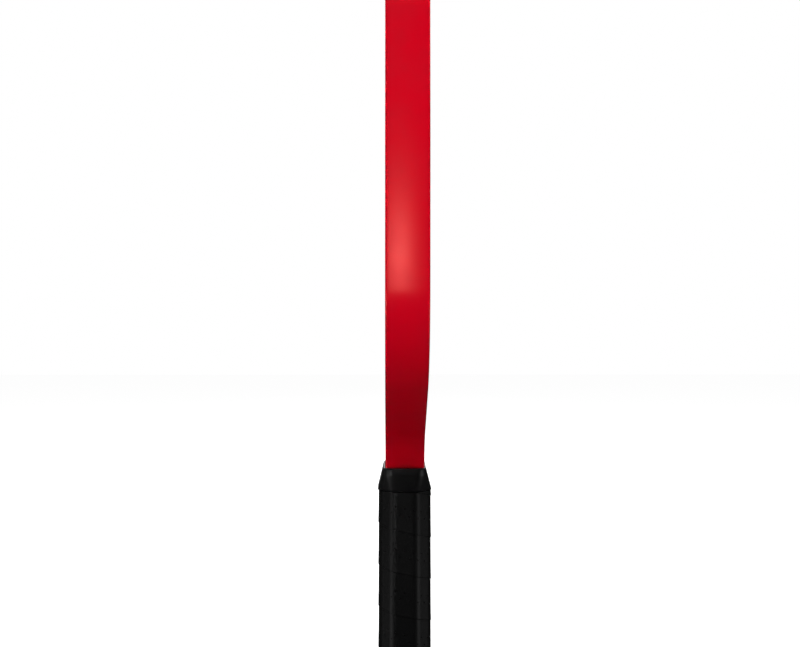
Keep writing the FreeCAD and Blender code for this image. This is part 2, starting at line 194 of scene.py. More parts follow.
# %% Helpers for grids
SMOOTH_BELOW = math.radians(32.0)
WELD_WITHIN = 1e-6  # metres


def grid_quads(rows, columns, close_rows=False, close_columns=False):
    """Corner numbers (r, c), (r, c+1), (r+1, c+1), (r+1, c) of every cell; a closed way wraps round to 0."""
    r = np.arange(rows if close_rows else rows - 1)[:, None]
    c = np.arange(columns if close_columns else columns - 1)[None, :]
    r_next, c_next = (r + 1) % rows, (c + 1) % columns
    cells = [r * columns + c, r * columns + c_next, r_next * columns + c_next, r_next * columns + c]
    return np.stack(cells, axis=-1).reshape(-1, 4)


def volume_of(points, faces):
    """Signed volume: the sum over triangles of a . (b x c) / 6, positive when the faces look outwards."""
    total = 0.0
    for k in range(1, faces.shape[1] - 1):
        a, b, c = points[faces[:, 0]], points[faces[:, k]], points[faces[:, k + 1]]
        total += np.einsum("ij,ij->", a, np.cross(b, c)) / 6.0
    return total


def surface(name, points_mm, faces, caps=(), values=None):
    """A welded, outward-facing mesh object from points in millimetres, quads, caps and point values."""
    points = points_mm.reshape(-1, 3) * MM
    if volume_of(points, faces) < 0:
        faces = faces[:, ::-1]
        caps = [cap[::-1] for cap in caps]
    mesh = bpy.data.meshes.new(name)
    mesh.from_pydata(points.tolist(), [], faces.tolist() + [[int(corner) for corner in cap] for cap in caps])
    for key, data in (values or {}).items():
        layer = mesh.attributes.new(key, "FLOAT_VECTOR", "POINT")
        layer.data.foreach_set("vector", np.ascontiguousarray(data, dtype=np.float32).ravel())
    weld = bmesh.new()
    weld.from_mesh(mesh)
    bmesh.ops.remove_doubles(weld, verts=weld.verts, dist=WELD_WITHIN)
    weld.to_mesh(mesh)
    weld.free()
    mesh.shade_smooth()
    mesh.set_sharp_from_angle(angle=SMOOTH_BELOW)
    piece = bpy.data.objects.new(name, mesh)
    scene.collection.objects.link(piece)
    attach(piece, "root")
    print(f"{name}: {len(mesh.vertices)} points, {len(mesh.polygons)} faces")
    return piece


# %% [markdown]
# ## The edge guard
#
# On the real paddle this is one soft extruded strip with a U section, pressed over the rim of the panel and
# glued. A curve object with a bevel profile could draw it, but its profile would swell and shrink where the
# outline turns from round to hollow. Here each point of the outline carries its own outward normal, and the
# section is laid inwards along that normal, which is an exact offset everywhere.

# %% Arcs of the head
SIDE_RADIUS, TOP_RADIUS, TOP_CORNER_RADIUS = 3000.0, 300.0, 58.0
LOWER_CORNER_RADIUS, THROAT_RADIUS = 56.0, 24.0
HEAD_HALF_WIDTH, HEAD_TOP, WIDEST_HEIGHT = 99.0, 403.0, 300.0
NECK_HALF_WIDTH, NECK_HEIGHT, GUARD_END = 16.5, 127.7, 126.5
SHOULDER = math.radians(60.5)
SAME_PLACE = 1e-6  # where two stretches join, points closer than this are one


def direction(angle):
    """Unit vector (cos, sin) in the XZ plane for an angle from +X towards +Z."""
    return np.array([math.cos(angle), math.sin(angle)])


def corner_centres():
    """Centres of the lower and upper corner arcs, each found where two arcs or an arc and a line touch."""
    side = np.array([HEAD_HALF_WIDTH - SIDE_RADIUS, WIDEST_HEIGHT])
    top = np.array([0.0, HEAD_TOP - TOP_RADIUS])
    throat = np.array([NECK_HALF_WIDTH + THROAT_RADIUS, NECK_HEIGHT])
    start = throat - direction(-SHOULDER) * (THROAT_RADIUS + LOWER_CORNER_RADIUS)
    along = direction(math.pi / 2 - SHOULDER)
    offset = start - side
    slide = -offset @ along
    slide += math.sqrt(slide**2 - offset @ offset + (SIDE_RADIUS - LOWER_CORNER_RADIUS) ** 2)
    lower = start + along * slide

    gap = top - side
    distance = math.hypot(*gap)
    gap /= distance
    from_side, from_top = SIDE_RADIUS - TOP_CORNER_RADIUS, TOP_RADIUS - TOP_CORNER_RADIUS
    foot = (from_side**2 - from_top**2 + distance**2) / (2 * distance)
    upper = side + gap * foot + np.array([-gap[1], gap[0]]) * math.sqrt(from_side**2 - foot**2)
    return side, top, throat, lower, upper


print("centre of the lower corner:", np.round(corner_centres()[3], 2), "mm")


# %% Outline of the head
def arc(centre, radius, start, stop, steps):
    """Points centre + radius * n and their outward normals n; a negative radius draws a hollow arc."""
    angles = np.linspace(start, stop, steps)
    normals = np.stack([np.cos(angles), np.sin(angles)], axis=-1)
    return centre + radius * normals, normals


def head_outline():
    """Right half from the guard's end to the crest, then its mirror image: points and outward normals."""
    side, top, throat, lower, upper = corner_centres()
    to_side = math.atan2(*(lower - side)[::-1])
    to_corner = math.atan2(*(upper - side)[::-1])
    to_top = math.atan2(*(upper - top)[::-1])
    stretches = [
        (np.array([[NECK_HALF_WIDTH, GUARD_END]]), np.array([[1.0, 0.0]])),
        arc(throat, -THROAT_RADIUS, 0.0, -SHOULDER, 26),
        arc(lower, LOWER_CORNER_RADIUS, -SHOULDER, to_side, 36),
        arc(side, SIDE_RADIUS, to_side, to_corner, 34),
        arc(upper, TOP_CORNER_RADIUS, to_corner, to_top, 38),
        arc(top, TOP_RADIUS, to_top, math.pi / 2, 22),
    ]
    points = np.concatenate([stretch[0] for stretch in stretches])
    normals = np.concatenate([stretch[1] for stretch in stretches])
    fresh = np.r_[True, np.linalg.norm(np.diff(points, axis=0), axis=1) > SAME_PLACE]
    points, normals = points[fresh], normals[fresh]
    flip = np.array([-1.0, 1.0])
    return (
        np.concatenate([points, points[-2::-1] * flip]),
        np.concatenate([normals, normals[-2::-1] * flip]),
    )


outline, outline_normals = head_outline()
print("outline:", len(outline), "stations, widest", round(float(outline[:, 0].max()), 2), "mm")

# %% Guard section and sweep
GUARD_HALF, PANEL_HALF = 10.0, 8.7
GUARD_CROWN, GUARD_CORNER, GUARD_WALL, LIP_END = 0.3, 0.9, 1.2, 5.7
LIP_NOSE, NOSE_THICKNESS = 1.4, 0.35
LIP_RUN = 1.2  # flat stretch of the lip before its slope
SLOPE_EASE, SLOPE_DROP = 0.12, 0.08  # the slope's two corners are cut by this much along and across


def bend(centre, radius, start, stop, steps):
    """Points of an arc in a section's own plane, angles in degrees."""
    angles = np.radians(np.linspace(start, stop, steps))
    return np.stack([centre[0] + radius * np.cos(angles), centre[1] + radius * np.sin(angles)], axis=-1)


def guard_section():
    """Closed loop of (depth, y): crown depth = crown * (y / half)^2, round corner, flat lip, sloping nose."""
    flat_half = GUARD_HALF - GUARD_CORNER
    y = np.linspace(0.0, flat_half, 10)
    crown = np.stack([GUARD_CROWN * (y / flat_half) ** 2, y], axis=-1)
    corner = bend((GUARD_CROWN + GUARD_CORNER, flat_half), GUARD_CORNER, 180, 90, 8)[1:]
    start, foot = LIP_END - LIP_NOSE, PANEL_HALF + NOSE_THICKNESS
    lip = [(start - LIP_RUN, GUARD_HALF), (start - SLOPE_EASE, GUARD_HALF)]
    slope = [(start + SLOPE_EASE, GUARD_HALF - SLOPE_DROP), (LIP_END - SLOPE_EASE, foot + SLOPE_DROP)]
    nose = [(LIP_END, foot - SLOPE_EASE), (LIP_END, PANEL_HALF), (GUARD_WALL, PANEL_HALF)]
    upper = np.concatenate([crown, corner, lip, slope, nose])
    lower = upper[::-1] * np.array([1.0, -1.0])
    return np.concatenate([upper, lower[:-1]])


def sweep_guard():
    """Each station's point (x, z) moves inwards by depth along its normal; y comes from the section."""
    section = guard_section()
    depth, y = section[:, 0], section[:, 1]
    flat = outline[:, None, :] - outline_normals[:, None, :] * depth[None, :, None]
    points = np.stack([flat[..., 0], np.broadcast_to(y, flat.shape[:2]), flat[..., 1]], axis=-1)
    stations, around = flat.shape[:2]
    caps = [np.arange(around)[::-1], (stations - 1) * around + np.arange(around)]
    return surface("guard_strip", points, grid_quads(stations, around, close_columns=True), caps)


guard = sweep_guard()
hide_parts("edge_guard")

# %% [markdown]
# ## Sections of the handle
#
# The wrap, the collar and the butt all follow one octagon with rounded corners, which swells at the butt and
# thins towards the neck. One function puts a place round the handle on such a section, however large its
# flats and corners are there, so the columns of every grid run straight along the handle's edges.

# %% Octagons of the handle
HANDLE_OCTAGON = (15.2, 11.7, 6.45, 2.2)  # half width, half thickness, bevel's leg, corner radius
PALLET_TOP_OCTAGON = (15.2, 9.5, 2.6, 1.0)
OFFSET_LEG = 2 - math.sqrt(2)  # a bevel's leg grows by this when the octagon is offset by one
SMALLEST = 0.1  # no width, leg or radius gets smaller than this
WRAP_THICKNESS, FLARE = 1.8, 2.0
WRAP_SOFTNESS = 2.5  # how much the cushion rounds the corners, on top of its own thickness
RIM_HEIGHT, FLARE_TOP, SKIRT_TOP, TAPER_START, PALLET_TOP = 4.5, 20.0, 30.0, 117.0, 124.5


def grown(section, by):
    """Octagons offset outwards by a distance: widths and radius grow by it, the leg by (2 - root 2) of it."""
    section, by = np.asarray(section, dtype=float), np.asarray(by, dtype=float)[..., None]
    return np.maximum(section + by * np.array([1.0, 1.0, OFFSET_LEG, 1.0]), SMALLEST)


def quarter_lengths(section):
    """Lengths of half the wide-side flat, corner, bevel, corner and half the face flat, in walking order."""
    half_x, half_y, leg, radius = section
    trim = radius * math.tan(math.pi / 8)
    corner = radius * math.pi / 4
    return np.array([half_y - leg - trim, corner, leg * math.sqrt(2) - 2 * trim, corner, half_x - leg - trim])


wrap_octagon = grown(HANDLE_OCTAGON, WRAP_THICKNESS)
wrap_octagon[3] += WRAP_SOFTNESS
WRAP_QUARTER = quarter_lengths(wrap_octagon)
WRAP_ROUND = 4 * WRAP_QUARTER.sum()
print("length round the wrap:", round(WRAP_ROUND, 2), "mm")


# %% Places on an octagon
def on_octagon(place, section):
    """Points (x, y) on octagons. Place runs 0 to 1 from the middle of the +X flat towards +Y, in shares of
    the wrap's length round. In each quarter it falls on a flat, a corner arc, the bevel, an arc or a flat."""
    place, half_x, half_y, leg, radius = np.broadcast_arrays(place, *np.moveaxis(section, -1, 0))
    turn = np.mod(place, 1.0) * 4
    quarter = np.floor(turn).astype(int)
    share = np.where(quarter % 2 == 0, turn - quarter, quarter + 1 - turn) * WRAP_QUARTER.sum()
    ends = np.concatenate([[0.0], np.cumsum(WRAP_QUARTER)])
    stretch = np.clip(np.searchsorted(ends, share, side="right") - 1, 0, 4)
    part = (share - ends[stretch]) / WRAP_QUARTER[stretch]

    trim = radius * math.tan(math.pi / 8)
    ys, xs = half_y - leg - trim, half_x - leg - trim
    first = np.stack([half_x - radius, ys], axis=-1)
    second = np.stack([xs, half_y - radius], axis=-1)
    angle = np.where(stretch == 1, part, np.where(stretch == 3, 1 + part, np.where(stretch == 2, 1.0, 0.0)))
    swing = radius[..., None] * np.stack([np.cos(angle * math.pi / 4), np.sin(angle * math.pi / 4)], axis=-1)
    choices = [
        np.stack([half_x, ys * part], axis=-1),
        first + swing,
        first + (second - first) * part[..., None] + swing,
        second + swing,
        np.stack([xs * (1 - part), half_y], axis=-1),
    ]
    points = np.choose(stretch[..., None], choices)
    points[..., 0] *= np.where((quarter == 1) | (quarter == 2), -1.0, 1.0)
    points[..., 1] *= np.where(quarter >= 2, -1.0, 1.0)
    return points


def along_stack(heights, sections, z):
    """Sections between given heights, every number in line between its neighbours."""
    sections = np.asarray(sections, dtype=float)
    return np.stack([np.interp(z, heights, sections[:, k]) for k in range(4)], axis=-1)


def under_wrap(z):
    """What the wrap lies on: the cap's flare, the plain octagon, then the taper to the neck."""
    heights = [RIM_HEIGHT, FLARE_TOP, TAPER_START, PALLET_TOP]
    stack = [grown(HANDLE_OCTAGON, FLARE), HANDLE_OCTAGON, HANDLE_OCTAGON, PALLET_TOP_OCTAGON]
    return along_stack(heights, stack, z)


print("half width and thickness under the wrap, at the flare and at the top:")
print(np.round(under_wrap(np.array([RIM_HEIGHT, PALLET_TOP]))[:, :2], 2).tolist(), "mm")

# %% [markdown]
# ## The wrap
#
# The real one is a cushioned strip about 25 mm wide with thinned edges, wound up the handle with a small
# overlap and pierced by two rows of tiny holes. A sleeve with stripes in its material would show no step in
# outline, so this is the strip itself: a thin closed section, wound as a helix whose pitch is the strip's
# visible width. Each turn's lower edge lies on the thinned upper margin of the turn below it.

# %% Measures of the wrap
PITCH = 21.5  # rise of one turn
STRIP_WIDTH = 25.0
EDGE_LEVEL = 11.0  # height of a free edge in the middle of the +X flat
WRAP_BOTTOM, WRAP_TOP = 4.5, 123.5
EDGE_STEP = 0.25  # step at each free edge
HOLE_ROWS = (8.7, 12.3)  # above the free edge
HOLES_ROUND = 22
HOLE_RADIUS, HOLE_DEPTH = 0.42, 0.5
HOLE_FLOOR = 0.35  # share of a hole's radius that is flat
HOLE_PHASE = -2.5 / WRAP_ROUND  # in turns, where the lower row has a hole
SQUEEZE_START, SQUEEZE_END = 117.45, 117.78
SQUEEZED = 0.63  # share of the thickness that is left under the collar
LAYER_GAP = 0.02  # between two layers, and between the strip and the handle
COVERED = 0.2  # how far the next turn covers the plain thickness before the margin thins
PRESSED = 0.07  # how much thinner the strip is where the next turn lies on it
# height above the free edge, and how far the outside lies below its crest there
CREST_FALL = [(0.0, 0.18), (0.06, 0.1), (0.15, 0.035), (0.3, 0.0), (2.0, 0.07), (4.0, 0.12), (7.0, 0.16)]
PLAIN_FROM = 10.5  # from this height up, the fall from the free edge's crest is over
MARGIN_HEIGHTS = [22.6, 23.8, STRIP_WIDTH]
MARGIN_LEVELS = [1.35, 0.8, 0.1]  # thickness of the thinned margin at those heights
LIES_FROM = 4.2  # from this height up, the strip lies on the handle itself
print("turns of the wrap:", round((WRAP_TOP - WRAP_BOTTOM) / PITCH, 2))


# %% Section of the strip
def strip_outside(height):
    """Distance of the strip's outer side from the handle: a rounded free edge, a slow fall from its crest to
    the plain thickness, then the thinned margin that the next turn covers."""
    rise, fall = np.array(CREST_FALL).T
    crest = WRAP_THICKNESS - PRESSED + EDGE_STEP
    heights = np.r_[rise, PLAIN_FROM, PITCH + COVERED, MARGIN_HEIGHTS]
    levels = np.r_[crest - fall, WRAP_THICKNESS, WRAP_THICKNESS - PRESSED, MARGIN_LEVELS]
    return np.interp(height, heights, levels)


def strip_inside(height):
    """Distance of its inner side: just above the margin it covers, and on the handle everywhere else."""
    heights = np.r_[COVERED, np.array(MARGIN_HEIGHTS) - PITCH, LIES_FROM]
    levels = np.r_[WRAP_THICKNESS - PRESSED, MARGIN_LEVELS, 0.0]
    return LAYER_GAP + np.interp(height, heights, levels)


edge_heights = [0.0, 0.06, 0.15, 0.3, 0.7, 1.6, 3.2, 5.2, 7.2]
hole_steps = [-0.6, -0.38, -0.2, 0.0, 0.2, 0.38, 0.6]
far_heights = [14.5, 16.8, 19.2, 21.0, PITCH + 0.05, PITCH + COVERED] + MARGIN_HEIGHTS
top_rows = edge_heights + [HOLE_ROWS[0] + d for d in hole_steps] + [PLAIN_FROM]
top_rows += [HOLE_ROWS[1] + d for d in hole_steps] + far_heights
under_rows = [STRIP_WIDTH, LIES_FROM] + [height - PITCH for height in MARGIN_HEIGHTS[::-1]] + [COVERED, 0.0]
print("thickness of the strip at its free edge's crest:", round(float(strip_outside(0.3)), 3), "mm")

# %% Columns of the strip
END_ROOM = 1e-4  # in turns; a column nearer to an end than this is left out


def strip_columns():
    """Turns at which the strip has a column: seven across each hole of both rows, one between."""
    spacing = WRAP_ROUND / HOLES_ROUND
    steps = hole_steps + [spacing / 4] + [spacing / 2 + d for d in hole_steps] + [spacing * 3 / 4]
    first, last = (EDGE_LEVEL - WRAP_TOP) / PITCH, (EDGE_LEVEL + STRIP_WIDTH - WRAP_BOTTOM) / PITCH
    cells = np.arange(math.floor(first * HOLES_ROUND) - 1, math.ceil(last * HOLES_ROUND) + 2)
    turns = HOLE_PHASE + (cells[:, None] + np.array(steps)[None, :] / spacing) / HOLES_ROUND
    turns = turns.ravel()
    inside = turns[(turns > first + END_ROOM) & (turns < last - END_ROOM)]
    return np.concatenate([[first], inside, [last]])


columns = strip_columns()
print("strip:", len(columns), "columns,", len(top_rows) + len(under_rows), "rows")


# %% Wind the strip
def hole_depth(turns, heights):
    """Depth of the small holes: full on their floor, then a rise of 3 r^2 - 2 r^3 to nothing at the rim."""
    depth = np.zeros(np.broadcast(turns, heights).shape)
    for shift, row in zip((0.0, 0.5), HOLE_ROWS):
        cell = (turns - HOLE_PHASE) * HOLES_ROUND - shift
        across = (cell - np.round(cell)) * WRAP_ROUND / HOLES_ROUND
        away = np.hypot(across, heights - row) / HOLE_RADIUS
        rise = np.clip((away - HOLE_FLOOR) / (1 - HOLE_FLOOR), 0, 1)
        depth += HOLE_DEPTH * (1 - rise**2 * (3 - 2 * rise))
    return depth


def wind_strip():
    """Turn u and height t up the strip give z = level - pitch * u + t. Where z would leave the wrap's span,
    t is held back to it, which trims both ends of the strip level, as scissors would. Two more rows of points
    stay at the heights between which the collar squeezes the wrap."""
    turns = columns[None, :]
    level = EDGE_LEVEL - PITCH * turns
    top = np.array(top_rows)[:, None] + 0 * turns
    squeeze = np.array([[SQUEEZE_START], [SQUEEZE_END]]) - level
    top = np.sort(np.concatenate([top, np.clip(squeeze, 0.0, STRIP_WIDTH)]), axis=0)
    rows = np.concatenate([top, np.array(under_rows)[:, None] + 0 * turns])
    outer = np.arange(len(rows))[:, None] < len(top)
    heights = np.clip(rows, WRAP_BOTTOM - level, WRAP_TOP - level)
    z = level + heights
    lift = np.where(outer, strip_outside(heights) - hole_depth(turns, heights), strip_inside(heights))
    tight = np.clip((z - SQUEEZE_START) / (SQUEEZE_END - SQUEEZE_START), 0, 1)
    lift = lift * (1 - (1 - SQUEEZED) * tight)
    sections = grown(under_wrap(z), lift)
    sections[..., 3] += WRAP_SOFTNESS * np.clip(lift / WRAP_THICKNESS, 0, 1)
    points = on_octagon(turns + 0 * heights, sections)
    points = np.concatenate([points, z[..., None]], axis=-1)
    strip_place = np.stack([turns * WRAP_ROUND + 0 * heights, heights, 0 * heights], axis=-1)
    faces = grid_quads(*z.shape, close_rows=True)
    return surface("wrap_strip", points, faces, values={"strip": strip_place.reshape(-1, 3)})


wrap = wind_strip()
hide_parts("grip_tape")

# %% [markdown]
# ## Collar, butt cap and plug
#
# These three are moulded, so their edges are rounded where the CAD has sharp ones. Each is a loft: a list of
# octagons at given heights, joined in order. A Bevel modifier on the CAD shapes would do the same job, but
# its width would have to be the same all round a rim that is thicker at its corners than on its flats.

# %% Loft
AROUND = 176
END_SHARES = [0.0, 0.3, 0.65]  # sizes of the rings that close a flat end
CROWN_REACH = 0.9  # share of the half thickness over which a crown bulges


def loft(name, heights, sections, ring=False, crown=None):
    """Octagons joined in order. A ring closes on itself; otherwise both ends shrink to a point and close. A
    crown moves points outwards along X by crown * (1 - (y / reach)^2), where that is positive."""
    heights, sections = np.asarray(heights, dtype=float), np.asarray(sections, dtype=float)
    if not ring:
        shares = np.array(END_SHARES)
        heights = np.r_[np.full(3, heights[0]), heights, np.full(3, heights[-1])]
        inwards, outwards = shares[:, None] * sections[0], shares[::-1, None] * sections[-1]
        sections = np.concatenate([inwards, sections, outwards])
    place = (np.arange(AROUND) + 0.5) / AROUND
    points = on_octagon(place[None, :], sections[:, None, :] * np.ones((1, AROUND, 1)))
    if crown is not None:
        level = 1 - (points[..., 1] / (CROWN_REACH * sections[:, 1:2])) ** 2
        points[..., 0] += np.sign(points[..., 0]) * crown[:, None] * np.maximum(level, 0.0)
    z = np.broadcast_to(heights[:, None, None], points.shape[:2] + (1,))
    faces = grid_quads(len(heights), AROUND, close_rows=ring, close_columns=True)
    return surface(name, np.concatenate([points, z], axis=-1), faces)


# %% Sides of the collar
COLLAR_BOTTOM, COLLAR_TOP, COLLAR_WALL = 117.8, 130.0, 0.8
COLLAR_RIM = (17.4, 13.95, 7.6, 6.0)  # the outside octagon at the bottom
COLLAR_SWELL = 1.2  # how far the narrow sides stand away from the neck at the top
CROWN_LOW, CROWN_HIGH = 0.4, 0.9  # how much further their middle bulges, at the bottom and at the top
COLLAR_CLEARANCE, TAPE_THICKNESS, WRAP_SQUEEZED = 0.05, 0.15, 1.3
NECK_ROUND = 0.4  # inside corner radius where the collar closes on the guard
CORNER_SHARE = 1.6  # outside corner radius as a share of the bevel's leg; 1.7 leaves no flat


def collar_sides():
    """Inside and outside octagons of the collar: at its bottom, level with the guard's ends, at its top. From
    the guard's ends up, the leg is half width + half thickness - reach, which clears its round corners."""
    rise = COLLAR_TOP - NECK_HEIGHT
    neck_x = NECK_HALF_WIDTH + THROAT_RADIUS - math.sqrt(THROAT_RADIUS**2 - rise**2) + COLLAR_CLEARANCE
    neck_y = GUARD_HALF + COLLAR_CLEARANCE
    rounded_off = 2 * GUARD_CORNER * (1 - math.sqrt(0.5)) + OFFSET_LEG * COLLAR_CLEARANCE
    reach = neck_x + neck_y - GUARD_CROWN - rounded_off
    seat = grown(under_wrap(COLLAR_BOTTOM), WRAP_SQUEEZED + TAPE_THICKNESS + COLLAR_CLEARANCE)
    sides = []
    for bottom, wall in ((seat, 0.0), (np.array(COLLAR_RIM), COLLAR_WALL)):
        stack = [bottom]
        for height in (GUARD_END, COLLAR_TOP):
            share = (height - COLLAR_BOTTOM) / (COLLAR_TOP - COLLAR_BOTTOM)
            half_x = neck_x + wall + (COLLAR_SWELL if wall else 0.0)
            half_y = bottom[1] + (neck_y + wall - bottom[1]) * share
            leg = half_x + half_y - reach - math.sqrt(2) * wall
            radius = min(CORNER_SHARE * leg, COLLAR_RIM[3]) if wall else NECK_ROUND
            stack.append(np.array([half_x, half_y, leg, radius]))
        sides.append(stack)
    return sides


print("top of the collar, half width and thickness:", np.round(collar_sides()[1][-1][:2], 2), "mm")

# %% Collar
RIM_ROUNDING = 0.3
OUTER_ROWS = 13
INNER_HEIGHTS = [GUARD_END + 0.5, GUARD_END, COLLAR_BOTTOM + 3.0, COLLAR_BOTTOM + 1.0]


def make_collar():
    """A loop in (height, share of the wall from inside to outside), its four corners rounded."""
    inside, outside = collar_sides()
    heights = [COLLAR_BOTTOM, GUARD_END, COLLAR_TOP]
    low, high, bow = COLLAR_BOTTOM, COLLAR_TOP, RIM_ROUNDING
    turn = np.radians(np.linspace(0, 90, 5))
    away, along = 1 - np.sin(turn), 1 - np.cos(turn)
    span = bow / COLLAR_WALL
    out_low = np.stack([low + bow * away, 1 - span * along], axis=-1)[::-1]
    outer = np.linspace(low + bow, high - bow, OUTER_ROWS + 2)[1:-1]
    outer = np.stack([outer, np.ones(OUTER_ROWS)], axis=-1)
    out_high = np.stack([high - bow * away, 1 - span * along], axis=-1)
    in_high = np.stack([high - bow * along, span * away], axis=-1)
    inner = np.stack([INNER_HEIGHTS, np.zeros(len(INNER_HEIGHTS))], axis=-1)
    in_low = np.stack([low + bow * away, span * along], axis=-1)
    loop = np.concatenate([out_low, outer, out_high, in_high, inner, in_low])
    near, far = along_stack(heights, inside, loop[:, 0]), along_stack(heights, outside, loop[:, 0])
    crown = np.interp(loop[:, 0], [low, high], [CROWN_LOW, CROWN_HIGH]) * loop[:, 1]
    return loft("collar_rubber", loop[:, 0], near + (far - near) * loop[:, 1:2], ring=True, crown=crown)


collar = make_collar()
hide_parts("collar")

# %% Butt cap
RIM_PROUD, RIM_CURVE, RIM_EDGE = 0.25, 1.3, 0.5
SKIRT_WALL, CAP_FLOOR = 1.2, 3.4
PLUG_MARGIN, PLUG_SUNK, PLUG_THICKNESS, PLUG_CLEARANCE = 5.0, 0.25, 1.2, 0.1
RECESS_EASE, EASE_MIDDLE, LEDGE_EASE = 0.25, 0.07, 0.15  # rounded way into the recess, and out of the ledge
RIM_OFFSET = FLARE + WRAP_THICKNESS + RIM_PROUD
RECESS_OFFSET = RIM_OFFSET - PLUG_MARGIN
RECESS_ROOF = PLUG_SUNK + PLUG_THICKNESS


def make_butt_cap():
    """Heights and offsets from the handle's octagon: recess, rounded rim, ledge, flared skirt, inside."""
    turn = np.radians(np.linspace(0, 90, 7))
    down, out = 1 - np.sin(turn), 1 - np.cos(turn)
    rim_low = np.stack([RIM_CURVE * down, RIM_OFFSET - RIM_CURVE * out], axis=-1)[::-1]
    rim_high = np.stack([RIM_HEIGHT - RIM_EDGE * down, RIM_OFFSET - RIM_EDGE * out], axis=-1)
    recess = [
        (RECESS_ROOF, RECESS_OFFSET),
        (RECESS_EASE, RECESS_OFFSET),
        (EASE_MIDDLE, RECESS_OFFSET + EASE_MIDDLE),
        (0.0, RECESS_OFFSET + RECESS_EASE),
    ]
    ledge = [(RIM_HEIGHT, FLARE + LEDGE_EASE), (RIM_HEIGHT + LEDGE_EASE, FLARE)]
    skirt = [(FLARE_TOP, 0.0), (SKIRT_TOP, 0.0)]
    cavity = [(SKIRT_TOP, -SKIRT_WALL), (CAP_FLOOR, -SKIRT_WALL)]
    path = np.concatenate([recess, rim_low, rim_high, ledge, skirt, cavity])
    return loft("butt_cap_moulding", path[:, 0], grown(HANDLE_OCTAGON, path[:, 1]))


butt = make_butt_cap()
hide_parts("butt_cap")

# %% Plug
PLUG_ROUNDING = 0.3
GROOVES_IN = (2.2, 4.4, 6.6)  # from the edge
GROOVE_DEPTH, GROOVE_WALL, GROOVE_WIDTH = 0.22, 0.12, 0.62


def make_plug():
    """A thin plate with a rounded edge and three plain grooves, each a step in and out of the flat face."""
    edge = RECESS_OFFSET - PLUG_CLEARANCE
    low, high, bow = PLUG_SUNK, PLUG_SUNK + PLUG_THICKNESS, PLUG_ROUNDING
    turn = np.radians(np.linspace(0, 90, 5))
    corner = np.stack([low + bow * (1 - np.sin(turn)), edge - bow * (1 - np.cos(turn))], axis=-1)
    grooves = []
    for groove_in in GROOVES_IN:
        start, floor_z = edge - groove_in, low + GROOVE_DEPTH
        grooves += [(low, start), (floor_z, start - GROOVE_WALL)]
        grooves += [(floor_z, start - GROOVE_WIDTH + GROOVE_WALL), (low, start - GROOVE_WIDTH)]
    path = np.concatenate([[(high, edge)], corner, grooves])[::-1]
    return loft("butt_plug", path[:, 0], grown(HANDLE_OCTAGON, path[:, 1]))


plug = make_plug()
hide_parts("butt_cap_plug")

# %% [markdown]
# ## Shared surface effects
#
# Moulded skin and rubbed patches turn up in several finishes, so each is a node group that is built once and
# placed in every material with its own sizes. The leather's grain and the laminate's weave are groups too,
# which keeps their finishes short. A group only gives out numbers that change over the surface. The shader
# itself stays in the material, where the fixed values are set on its own sockets.

# %% Node helpers
def add_node(tree, kind, settings=None, **sockets):
    """A node with some of its settings and unlinked inputs set; spaces in socket names are underscores."""
    node = tree.nodes.new(kind)
    for key, value in (settings or {}).items():
        setattr(node, key, value)
    for key, value in sockets.items():
        node.inputs[key.replace("_", " ")].default_value = value
    return node


def new_group(name, inputs, outputs):
    """An empty group with sockets given as {name: (socket type, default)}, and its two end nodes."""
    tree = bpy.data.node_groups.new(name, "ShaderNodeTree")
    for key, (kind, default) in inputs.items():
        socket = tree.interface.new_socket(key, in_out="INPUT", socket_type=kind)
        if default is not None:
            socket.default_value = default
    for key in outputs:
        tree.interface.new_socket(key, in_out="OUTPUT", socket_type="NodeSocketFloat")
    return tree, tree.nodes.new("NodeGroupInput"), tree.nodes.new("NodeGroupOutput")


def use_group(tree, group, place, **values):
    """The group placed in a tree, its Place input linked and its numbers set."""
    node = tree.nodes.new("ShaderNodeGroup")
    node.node_tree = group
    new_link(tree, place, node.inputs["Place"])
    for key, value in values.items():
        node.inputs[key.replace("_", " ")].default_value = value
    return node


def calculate(tree, operation, *terms, clamp=False):
    """A Math node whose terms are numbers or outputs; gives its output."""
    node = add_node(tree, "ShaderNodeMath", {"operation": operation, "use_clamp": clamp})
    for slot, term in enumerate(terms):
        if isinstance(term, (int, float)):
            node.inputs[slot].default_value = term
        else:
            new_link(tree, term, node.inputs[slot])
    return node.outputs[0]


def noise(tree, place, scale, detail=2.0, roughness=0.5):
    """Noise of 0 to 1 at a scale that is a number or an output."""
    node = add_node(tree, "ShaderNodeTexNoise", Detail=detail, Roughness=roughness)
    new_link(tree, place, node.inputs["Vector"])
    if isinstance(scale, (int, float)):
        node.inputs["Scale"].default_value = scale
    else:
        new_link(tree, scale, node.inputs["Scale"])
    return node.outputs["Fac"]


VECTOR, FLOAT = "NodeSocketVector", "NodeSocketFloat"

# %% Moulded skin
SWELL_SCALE, SWELL_HEIGHT = 0.11, 0.6  # of the slow swell, as shares of the fine grain's
moulded_skin, ends_in, ends_out = new_group(
    "moulded_skin", {"Place": (VECTOR, None), "Grains per metre": (FLOAT, 3000.0)}, ["Height"]
)
grain_scale = ends_in.outputs["Grains per metre"]
fine = noise(moulded_skin, ends_in.outputs["Place"], grain_scale, detail=3.0, roughness=0.55)
coarse_scale = calculate(moulded_skin, "MULTIPLY", grain_scale, SWELL_SCALE)
coarse = noise(moulded_skin, ends_in.outputs["Place"], coarse_scale)
height = calculate(moulded_skin, "MULTIPLY_ADD", coarse, SWELL_HEIGHT, fine)
new_link(moulded_skin, height, ends_out.inputs["Height"])
print("group moulded_skin: fine grain on top of a slow swell")

